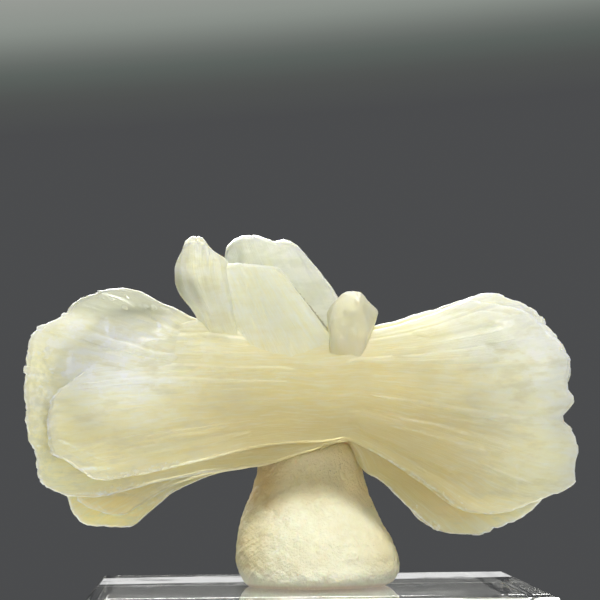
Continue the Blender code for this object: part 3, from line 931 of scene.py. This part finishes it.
class Nodes:
    """A material's or the world's node tree, with short calls for the nodes used here."""

    def __init__(self, name, owners="materials", shader="Principled BSDF"):
        self.owner = getattr(bpy.data, owners).new(name)
        self.owner.use_nodes = True
        self.tree = self.owner.node_tree
        self.shader = self.tree.nodes[shader]

    def node(self, kind, inputs=(), **settings):
        made = self.tree.nodes.new("ShaderNode" + kind)
        for key, value in settings.items():
            setattr(made, key, value)
        for socket, value in dict(inputs).items():
            self.feed(made.inputs[socket], value)
        return made

    def feed(self, socket, value):
        if isinstance(value, bpy.types.NodeSocket):
            self.tree.links.new(value, socket)
        elif isinstance(value, tuple) and len(value) == 3 and socket.type == "RGBA":
            socket.default_value = (*value, 1.0)
        else:
            socket.default_value = value

    def math(self, operation, a, b=0.0, clamp=False):
        made = self.node("Math", {0: a, 1: b}, operation=operation, use_clamp=clamp)
        return made.outputs[0]

    def plus(self, a, b):
        return self.math("ADD", a, b)

    def minus(self, a, b):
        return self.math("SUBTRACT", a, b)

    def most(self, a, b):
        return self.math("MAXIMUM", a, b)

    def times(self, first, *others):
        """The product of values."""
        for value in others:
            first = self.math("MULTIPLY", first, value)
        return first

    def sum(self, first, *others):
        """The sum of values, clamped to 0..1 at the end."""
        for number, value in enumerate(others):
            first = self.math("ADD", first, value, clamp=number == len(others) - 1)
        return first

    def spread(self, value, size):
        """Noise around 0.5 as a change up or down."""
        return self.times(self.minus(value, 0.5), size)

    def ramp(self, value, low, high, to_high=1.0, to_low=0.0):
        """value mapped from low..high to to_low..to_high, smooth and clamped."""
        made = self.node(
            "MapRange",
            {"Value": value, "From Min": low, "From Max": high, "To Min": to_low, "To Max": to_high},
            interpolation_type="SMOOTHSTEP",
        )
        return made.outputs["Result"]

    def mix(self, share, a, b):
        return self.node("Mix", {0: share, 6: a, 7: b}, data_type="RGBA").outputs[2]

    def layered(self, colour, *layers):
        """A colour with others laid over it, each by its share."""
        for share, over in layers:
            colour = self.mix(share, colour, over)
        return colour

    def vector(self, operation, a, b=(0.0, 0.0, 0.0)):
        return self.node("VectorMath", {0: a, 1: b}, operation=operation).outputs

    def noise(self, place, scale, detail=3.0, rough=0.5, stretch=(1.0, 1.0, 1.0)):
        """Noise from 0 to 1 at a place in mm."""
        scaled = self.vector("MULTIPLY", place, stretch)[0]
        made = self.node(
            "TexNoise", {"Vector": scaled, "Scale": scale, "Detail": detail, "Roughness": rough}
        )
        return made.outputs["Fac"]

    def attribute(self, name):
        return self.node("Attribute", attribute_name=name).outputs["Vector"]

    def split(self, vector):
        return self.node("SeparateXYZ", {0: vector}).outputs

    def place(self):
        """The point being shaded, in mm from the centre of the block's top face."""
        at = self.node("TexCoord").outputs["Object"]
        scaled = self.vector("MULTIPLY", at, (1 / MM,) * 3)[0]
        return self.vector("SUBTRACT", scaled, (0.0, 0.0, BLOCK_TOP))[0]

    def patch(self, place, centre, radii, soft=0.5):
        """1 inside an ellipsoid, 0 outside, with a soft edge."""
        unit = self.vector("DIVIDE", self.vector("SUBTRACT", place, centre)[0], radii)[0]
        size = self.vector("LENGTH", unit)["Value"]
        return self.ramp(size, 1.0 + soft, 1.0 - soft)

    def line(self, x, z, corners, width):
        """1 on a line of straight parts through corners, (X, Z), 0 beside it."""
        parts = []
        for (x1, z1), (x2, z2) in zip(corners, corners[1:]):
            length = math.hypot(x2 - x1, z2 - z1)
            ux, uz = (x2 - x1) / length, (z2 - z1) / length
            right, up = self.minus(x, x1), self.minus(z, z1)
            along = self.plus(self.times(right, ux), self.times(up, uz))
            beside = self.minus(self.times(up, ux), self.times(right, uz))
            past = self.minus(along, self.math("MINIMUM", self.most(along, 0.0), length))
            squares = self.plus(self.times(past, past), self.times(beside, beside))
            parts.append(self.ramp(self.math("SQRT", squares), width, 0.3 * width))
        while len(parts) > 1:
            parts.append(self.most(parts.pop(0), parts.pop(0)))
        return parts[0]

    def bump(self, height, distance, strength):
        inputs = {"Height": height, "Distance": distance, "Strength": strength}
        return self.node("Bump", inputs).outputs["Normal"]

    def set(self, **values):
        for socket, value in values.items():
            self.feed(self.shader.inputs[socket.replace("_", " ")], value)


# Regions: centre, radii and how soft the edge is.
LEFT_RIM = (-15.6, -3.0, 10.0), (1.3, 4.0, 4.2), 0.35
BLUNT_TOP = (-6.3, -1.7, 18.9), (1.5, 2.0, 1.2), 0.4  # the left blade's
TALL_TOP = (-10.8, -2.6, 16.8), (4.4, 1.8, 1.35), 0.35  # the left fan's
# A painted sheen: a whitish patch of reflected light on the left fan's face.
SHEEN = (-10.5, -4.0, 12.2), (2.6, 3.0, 2.2), 0.7
VEIL = (10.6, -3.0, 15.2), (4.0, 4.0, 2.3), 0.4
DARK_PATCH = (-4.4, -0.6, 19.2), (0.6, 2.0, 1.0), 0.5
LITTLE = (2.4, -2.3, 15.1), (1.45, 0.9, 2.1), 0.15  # the little crystal

MARKS = (  # centres and radii of small bright marks: milky flaws and painted glints
    ((-8.55, -3.0, 14.66), (0.50, 2.0, 0.36)),
    ((-9.1, -3.0, 14.2), (0.7, 2.0, 0.16)),
    ((-13.8, -3.5, 12.8), (0.16, 2.0, 0.75)),
    ((-11.7, -3.0, 15.0), (0.14, 2.0, 0.55)),
    ((10.85, -3.5, 14.95), (0.62, 2.0, 0.26)),
    ((-12.4, -4.0, 5.15), (1.6, 2.0, 0.14)),
    ((-12.3, -4.0, 6.9), (0.9, 2.0, 0.10)),
)
GROWTH_LINES = (  # half width and corners of thin bright lines on the front: painted light along the plates' edges, and one painted glint
    (0.09, ((-14.8, 8.6), (-13.8, 8.3), (-12.6, 7.7), (-11.7, 7.3))),
    (0.07, ((-14.3, 8.0), (-13.0, 7.4), (-12.4, 6.9))),
    (0.08, ((-12.4, 4.9), (-11.8, 4.25), (-11.0, 4.1), (-9.6, 4.6), (-8.0, 5.6))),
    (0.10, ((-14.7, 5.5), (-13.9, 5.4), (-12.6, 5.5), (-11.4, 5.3))),
    (0.06, ((-11.3, 5.6), (-9.8, 5.2), (-8.4, 5.9), (-7.2, 6.6))),
    (0.12, ((5.0, 9.6), (7.7, 9.1), (9.3, 8.6), (10.7, 8.3), (11.35, 7.7), (11.6, 6.9), (11.6, 5.6))),
    (0.09, ((4.6, 9.2), (7.2, 8.5), (9.0, 7.9), (10.3, 7.7))),
    (0.04, ((3.6, 10.2), (6.5, 9.7), (9.6, 9.4), (12.0, 8.9))),
    (0.06, ((9.0, 4.75), (10.3, 4.75), (12.9, 5.3))),
    (0.06, ((12.60, 9.95), (13.1, 10.35))),
    (0.05, ((7.4, 6.9), (9.3, 6.3), (11.2, 5.2))),
)
# A painted shadow: a thin dark line where the front upright blade's edge stands over the blade
# behind.
CRACK = (-1.05, 17.35), (-0.2, 16.3), (1.0, 14.75)
CRACK_WIDTH = 0.08

HONEY = (0.85, 0.76, 0.40)
# the thick crystal's deeper honey, with painted shade
DEEP_HONEY = (0.70, 0.58, 0.27)
CREAM = (0.92, 0.93, 0.80)
PEACH = (1.0, 0.90, 0.57)
AMBER = (1.0, 0.77, 0.39)
GREY_ICE = (0.78, 0.81, 0.70)
PALE_ICE = (0.98, 1.0, 0.86)
DARK_ICE = (0.66, 0.69, 0.62)
LITTLE_TINT = (0.90, 0.84, 0.67)
# the white of the streaks, also of the painted sheen
STREAK = (0.94, 0.96, 0.89)
FLAKE = (0.97, 0.98, 0.92)
# the painted shade's colour on the edges that face down by the waist
UNDERSIDE = (0.50, 0.41, 0.19)
# the painted shadow's colour between the two blades
CRACK_SHADE = (0.30, 0.27, 0.17)
DULL = (0.76, 0.73, 0.55)
TOP_GREY = (0.55, 0.57, 0.51)
GAP = (0.62, 0.62, 0.48)
# milky white, also the painted light on edges and the painted glints
MILK = (0.96, 0.97, 0.88)


def stilbite_regions(n):
    """The places, noises and regions that the stilbite's colour and clearness are made from."""
    m = SimpleNamespace(place=n.place())
    m.x, m.y, m.z = n.split(m.place)
    m.rim, m.clarity, m.pallor = n.split(n.attribute("nature"))
    fibre = n.attribute("fibre")
    m.fine = n.noise(fibre, 1.0, 4.0, 0.6, (0.55, 13.0, 1.0))
    m.medium = n.noise(fibre, 1.0, 3.0, 0.5, (0.75, 7.0, 1.0))
    m.coarse = n.noise(fibre, 1.0, 3.0, 0.5, (0.12, 2.2, 1.0))
    m.cloud = n.noise(m.place, 0.35)
    m.grain = n.noise(m.place, 1.0, 4.0, 0.7, (2.2, 3.0, 4.2))
    m.mottle = n.noise(m.place, 1.0, 4.0, 0.6, (0.7, 1.0, 2.0))
    m.speck = n.noise(m.place, 1.0, 4.0, 0.65, (4.6, 4.6, 3.6))
    m.from_waist = n.math("ABSOLUTE", n.minus(m.x, float(WAIST[0])))
    m.off_waist = n.most(n.ramp(m.x, -2.6, -8.6), n.ramp(m.x, 2.3, 4.0))
    m.far = n.ramp(m.from_waist, 3.0, 14.0)
    m.left_rim = n.patch(m.place, *LEFT_RIM)
    m.tall_top = n.patch(m.place, *TALL_TOP)
    m.grainy = n.sum(m.left_rim, n.patch(m.place, *BLUNT_TOP))
    # the painted sheen, a patch of reflected light painted into the colour
    m.sheen = n.patch(m.place, *SHEEN)
    # Warmer and lighter on the lower lobes and the left rim: partly their own tan tint, partly
    # painted light where they face down into shade.
    low_left = n.times(n.ramp(m.x, -7.0, -13.0), n.ramp(m.z, 9.0, 6.5))
    m.warm = n.most(n.most(low_left, n.ramp(m.z, 5.6, 4.0)), n.times(m.left_rim, 0.5))
    return m


def stilbite_marks(n, m):
    """Add the milky flaws and painted glints, a painted shadow line between two blades, painted light
    on thin edges and painted shade under the waist to the regions.
    """
    bent_x = n.plus(m.x, n.spread(m.grain, 0.35))
    bent_z = n.plus(m.z, n.spread(m.mottle, 0.5))
    marks = n.sum(*(n.patch(m.place, *mark) for mark in MARKS))
    lines = n.sum(*(n.line(bent_x, bent_z, corners, width) for width, corners in GROWTH_LINES))
    lines = n.times(lines, n.ramp(m.y, -0.3, -1.0), n.ramp(m.x, 0.0, 5.0, 0.36, 0.6))
    # milky flaws, with painted glints and painted light along edges
    m.flaws = n.times(n.sum(marks, lines), n.ramp(m.grain, 0.40, 0.60, 0.9, 0.05))
    # the painted shadow line, on the blade behind only
    crack = n.line(bent_x, m.z, CRACK, CRACK_WIDTH)
    m.crack = n.times(crack, n.ramp(m.y, -1.3, -1.1), n.ramp(m.y, 0.0, -0.3))
    # Painted light: whiter along the plates' thin edges, where light passing through makes them glow.
    edge = n.times(n.ramp(m.rim, 0.13, 0.02), n.ramp(m.grain, 0.4, 0.6, 0.9, 0.2))
    m.edge = n.times(edge, n.most(m.off_waist, 0.2), n.ramp(m.tall_top, 0.0, 1.0, 0.45, 1.0))
    # Painted shade: darker on the front plates' rims low by the waist and left of it, where their
    # edges face down.
    near_waist = n.times(n.ramp(m.off_waist, 0.9, 0.3), n.ramp(m.z, 10.0, 9.0))
    facing_down = n.times(n.ramp(m.x, 1.2, -0.6), n.ramp(m.y, -1.4, -2.0, 0.7))
    m.under = n.times(near_waist, n.ramp(m.rim, 0.22, 0.04), facing_down)


def stilbite_body(n, m):
    """Honey-yellow, paler towards the rims and tops, warmer low down and at the left; painted light
    pales the tops and lightens the lower lobes, painted shade darkens the waist low down.
    """
    # Paler far from the waist and towards the top: partly the crystal's whiter tips, partly painted
    # light from above.
    upper = n.ramp(m.z, 4.0, 12.0, 1.0, 0.35)
    pale = n.sum(
        n.times(m.far, upper, 0.36),
        n.ramp(m.z, 8.5, 16.0, 0.42),
        n.ramp(m.x, 6.0, 14.0, 0.42),
        n.spread(m.medium, 0.65),
        n.spread(m.coarse, 0.35),
        n.spread(m.cloud, 0.4),
        n.spread(m.mottle, 1.0),
        n.times(m.pallor, 0.6),
        # paler inside the painted sheen
        n.times(m.sheen, 0.3),
        n.times(n.patch(m.place, *VEIL), 0.4),
    )
    left_lobe = n.times(n.ramp(m.z, 6.2, 4.8), n.ramp(m.x, 0.0, -5.0, 1.0, 0.3))
    icy = n.mix(n.ramp(m.mottle, 0.40, 0.62), GREY_ICE, PALE_ICE)
    # Darker honey near the waist low down: partly the thicker crystal, partly painted shade on its
    # lower side.
    deep = n.times(n.ramp(m.from_waist, 10.5, 3.5), n.ramp(m.z, 11.2, 8.8, 0.6))
    return n.layered(
        n.mix(pale, HONEY, CREAM),
        # the lower lobes' tan tint, with painted light
        (n.times(m.warm, 0.8), n.mix(left_lobe, PEACH, AMBER)),
        (n.times(n.ramp(m.pallor, 0.75, 1.0), 0.7), icy),
        (n.patch(m.place, *DARK_PATCH), DARK_ICE),
        (n.times(n.patch(m.place, *LITTLE), 0.75), LITTLE_TINT),
        (deep, DEEP_HONEY),
    )


def stilbite_colour(n, m):
    """The body's colour with its streaks, flakes, painted shadows, milky marks, painted glints and
    painted edge light.
    """
    streak = n.ramp(n.plus(n.times(m.fine, 0.5), n.times(m.medium, 0.5)), 0.48, 0.62)
    flake = n.ramp(n.noise(m.place, 0.9, 5.0, 0.62), 0.53, 0.57)
    flake = n.times(flake, m.far, n.ramp(m.z, 8.0, 13.0))
    dim = n.times(n.ramp(m.mottle, 0.52, 0.34, 0.65), n.ramp(m.from_waist, 3.0, 9.0))
    milky_grains = n.times(m.grainy, n.ramp(m.grain, 0.48, 0.68, 0.3))
    return n.layered(
        stilbite_body(n, m),
        # whiter streaks along the fibres, stronger inside the painted sheen
        (n.times(streak, n.sum(0.22, n.times(m.sheen, 0.30))), STREAK),
        (n.times(flake, 0.6), FLAKE),
        # painted shade on the edges that face down by the waist
        (n.times(m.under, 0.85), UNDERSIDE),
        # painted shadow between two blades
        (n.times(m.crack, 0.8), CRACK_SHADE),
        (dim, DULL),
        (n.times(m.tall_top, 0.9), TOP_GREY),
        (n.times(m.left_rim, n.ramp(m.speck, 0.58, 0.40, 0.32)), GAP),
        # milky grains and flaws, with painted light on thin edges and painted glints
        (n.sum(m.edge, milky_grains, m.flaws), MILK),
    )


def stilbite_clearness(n, m):
    """The share of the light that passes straight through."""
    return n.sum(
        0.40,
        n.times(m.clarity, 0.45),
        n.spread(m.cloud, 0.4),
        n.spread(m.medium, 0.3),
        n.times(m.grainy, n.ramp(m.speck, 0.66, 0.34, 0.14, -0.14)),
        # less clear, so lighter, on the lower lobes where light is painted
        n.times(m.warm, -0.22),
        n.ramp(m.x, 9.0, 13.5, -0.07),
        # less clear where shade, edge light, glints and sheen are painted, so that their painted
        # colour shows
        n.times(m.under, -0.4),
        n.times(m.edge, -0.3),
        n.times(m.flaws, -0.5),
        n.times(m.sheen, -0.25),
        n.times(m.tall_top, 0.32),
    )


def stilbite():
    """Pearly, translucent crystal, finely streaked along the blades."""
    n = Nodes("stilbite")
    m = stilbite_regions(n)
    stilbite_marks(n, m)
    n.set(
        Base_Color=stilbite_colour(n, m),
        Roughness=n.ramp(m.coarse, 0.3, 0.7, 0.44, 0.28),
        IOR=1.5,
        Subsurface_Weight=1.0,
        Subsurface_Radius=(1.0, 0.92, 0.60),
        Subsurface_Scale=3.0 * MM,
        Transmission_Weight=stilbite_clearness(n, m),
        Normal=n.bump(n.plus(n.times(m.fine, 0.6), m.coarse), 0.08 * MM, 0.35),
    )
    return n.owner


PUTTY_DULL = (0.76, 0.70, 0.48)
PUTTY_PALE = (0.92, 0.92, 0.75)
# the painted shade's colour on its sides
PUTTY_SIDE = (0.80, 0.69, 0.40)
# the painted light's colour low on its foot
PUTTY_FOOT_TINT = (1.0, 0.96, 0.77)
# the painted shadow's colour on its neck
PUTTY_NECK_TINT = (0.70, 0.56, 0.26)
# the painted light's colour at its top
PUTTY_TOP_TINT = (0.95, 0.84, 0.58)
PUTTY_LIT = (1.0, 0.86, 0.55)
PUTTY_SHADE = (0.64, 0.49, 0.25)
# the painted shade's colour where it meets the block
PUTTY_SEAM = (0.66, 0.47, 0.32)
DUST = (0.35, 0.29, 0.2)


def putty():
    """Waxy off-white with specks of dust; painted shade browns it under the crystals, on its sides
    and along its foot, and painted light lifts its foot, its top and the right of its neck.
    """
    n = Nodes("putty")
    place = n.place()
    x, _, z = n.split(place)
    fine = n.noise(place, 7.0, 4.0, 0.6)
    cloud = n.noise(place, 0.5, 2.0)
    patchy = n.noise(place, 2.2, 3.0, 0.6)
    specks = n.node("TexVoronoi", {"Vector": place, "Scale": 1.2}, feature="F1")
    dust = n.ramp(specks.outputs["Distance"], 0.07, 0.035)
    # Painted shade: its sides darker and browner, where they turn away from the light.
    beside = n.most(n.ramp(x, -1.6, -4.0, 0.8), n.ramp(x, 1.8, 4.4, 0.55))
    sides = n.most(n.ramp(x, -0.9, -2.9, 1.2), n.ramp(x, 0.9, 2.9, 0.25))
    sides = n.times(sides, n.ramp(n.plus(z, n.spread(patchy, 3.0)), 3.6, 5.6))
    colour = n.layered(
        n.mix(n.sum(cloud, n.spread(patchy, 0.9)), PUTTY_DULL, PUTTY_PALE),
        (beside, PUTTY_SIDE),
        # painted light low on its foot, as if cast up from the block's top
        (n.ramp(z, 1.4, 0.5, 0.8), PUTTY_FOOT_TINT),
        # painted shadow: browner on its neck, under the crystals
        (n.ramp(z, 4.0, 6.2, 0.6), PUTTY_NECK_TINT),
        # painted light: lighter right under the crystals, where the crease lies in shade
        (n.ramp(z, 6.4, 7.6, 0.6), PUTTY_TOP_TINT),
        (n.times(n.ramp(x, 1.2, 2.6), n.ramp(z, 4.2, 5.6), 0.8), PUTTY_LIT),
        (n.math("MULTIPLY", sides, 0.8, clamp=True), PUTTY_SHADE),
        # painted shade: a darker line where it meets the block
        (n.ramp(z, 0.30, 0.05, 0.7), PUTTY_SEAM),
        (n.times(dust, 0.55), DUST),
    )
    n.set(
        Base_Color=colour,
        Roughness=0.42,
        IOR=1.48,
        Subsurface_Weight=0.6,
        Subsurface_Radius=(1.0, 0.75, 0.4),
        Subsurface_Scale=0.4 * MM,
        Normal=n.bump(n.plus(fine, patchy), 0.14 * MM, 0.8),
    )
    return n.owner


def clear_acrylic():
    """Polished clear acrylic with faint smudges."""
    n = Nodes("clear_acrylic")
    smudge = n.noise(n.place(), 0.25, 4.0, 0.6)
    n.set(
        Base_Color=(0.98, 0.985, 0.98),
        Roughness=n.ramp(smudge, 0.45, 0.75, 0.06),
        IOR=1.49,
        Transmission_Weight=1.0,
    )
    return n.owner


def plain(name, colour, roughness):
    """One colour, very slightly uneven."""
    n = Nodes(name)
    grain = n.noise(n.place(), 0.05, 2.0)
    n.set(Base_Color=n.mix(grain, colour, tuple(0.96 * c for c in colour)), Roughness=roughness)
    return n.owner


# ---- stage, light and camera

STAGE_RADIUS = 130.0
STAGE_GAP = 0.02


def stage_disc(radius):
    """A pale round table under the block, out of the main view."""
    bm = bmesh.new()
    bmesh.ops.create_circle(bm, cap_ends=True, segments=96, radius=radius * MM)
    bmesh.ops.translate(bm, vec=(0.0, 0.0, -STAGE_GAP * MM), verts=bm.verts)
    return smooth_piece("table", bm)


SKY = (  # the sine of the height above the horizon, and the light there
    (0.125, (0.071, 0.073, 0.076)),
    (0.139, (0.083, 0.088, 0.085)),
    (0.148, (0.105, 0.122, 0.112)),
    (0.154, (0.141, 0.156, 0.144)),
    (0.166, (0.262, 0.288, 0.262)),
    (0.180, (0.320, 0.335, 0.310)),
)
SKY_TILT = 0.07  # how much lower the lighter part comes to the left


def dark_surroundings():
    """A dark grey backdrop, lighter above."""
    n = Nodes("surroundings", "worlds", "Background")
    at = n.node("TexCoord").outputs["Generated"]
    height = n.vector("DOT_PRODUCT", at, (-SKY_TILT, 0.0, 1.0))["Value"]
    band = n.node("ValToRGB", {0: height})
    n.set(Color=band.outputs[0])
    bpy.context.scene.world = n.owner
    stops = band.color_ramp.elements
    stops.remove(stops[1])
    for number, (level, light) in enumerate(SKY):
        stop = stops[0] if number == 0 else stops.new(level)
        stop.position, stop.color = level, (*light, 1.0)


LIGHTS = (  # name, place, size, power and colour
    ("key", (20.0, -58.0, 140.0), 34.0, 0.185, (1.0, 0.99, 0.94)),
    ("fill", (-20.0, -130.0, 30.0), 110.0, 0.040, (1.0, 0.99, 0.94)),
    ("rim", (-20.0, 100.0, 80.0), 70.0, 0.16, (1.0, 1.0, 0.97)),
)
LIGHTS_AIM = (0.0, 0.0, 11.0)


def soft_light(name, place, size, power, colour=(1.0, 1.0, 1.0), aim=LIGHTS_AIM):
    """A square soft light at a place, both in mm from the centre of the block's top."""
    lamp = bpy.data.lights.new(name, "AREA")
    lamp.size = size * MM
    lamp.energy = power
    lamp.color = colour
    light = bpy.data.objects.new(name, lamp)
    bpy.context.scene.collection.objects.link(light)
    light.location = spot(*place)
    towards = Vector(aim) - Vector(place)
    light.rotation_euler = towards.to_track_quat("-Z", "Y").to_euler()
    return light


def strip_light(name, place, width, height, tilt, power):
    """A thin bright strip behind the block, seen only mirrored in the block's polished top."""
    light = soft_light(name, place, width, power, aim=(place[0], 0.0, place[2]))
    light.data.shape = "RECTANGLE"
    light.data.size_y = height * MM
    light.rotation_euler.rotate_axis("Z", math.radians(tilt))
    light.visible_camera = False
    light.visible_transmission = False
    return light


def main_camera():
    """The camera, placed from the block's top edges."""
    yaw, pitch, roll = (math.radians(a) for a in (CAMERA_YAW, CAMERA_PITCH, CAMERA_ROLL))
    turn = (
        Matrix.Rotation(-yaw, 4, "Z")
        @ Matrix.Rotation(math.pi / 2 + pitch, 4, "X")
        @ Matrix.Rotation(roll, 4, "Z")
    )
    lens = bpy.data.cameras.new("camera")
    lens.lens = CAMERA_LENS
    lens.sensor_width = CAMERA_SENSOR
    lens.clip_start = 0.01
    camera = bpy.data.objects.new("camera", lens)
    bpy.context.scene.collection.objects.link(camera)
    place = spot(CAMERA_X, CAMERA_Y, CAMERA_ABOVE_BLOCK)
    camera.matrix_world = Matrix.Translation(place) @ turn
    bpy.context.scene.camera = camera


def shown(piece, material, node):
    """Show a piece in place of a CAD node."""
    piece.data.materials.clear()
    piece.data.materials.append(material)
    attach(piece, "root")
    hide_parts(node)


sheaf = grown_sheaf()
mound = putty_mound(sheaf)
block = clear_block()
shown(sheaf, stilbite(), "stilbite_sheaf")
shown(mound, putty(), "putty_mound")
shown(block, clear_acrylic(), "acrylic_block")

table = stage_disc(STAGE_RADIUS)
table.data.materials.append(plain("pale_table", (0.75, 0.75, 0.73), 0.6))

dark_surroundings()
for light in LIGHTS:
    soft_light(*light)
strip_light("strip", (5.0, 150.0, 8.1), 54.0, 0.70, 0.52, 0.000095)
main_camera()
bpy.context.scene.view_settings.view_transform = "Standard"
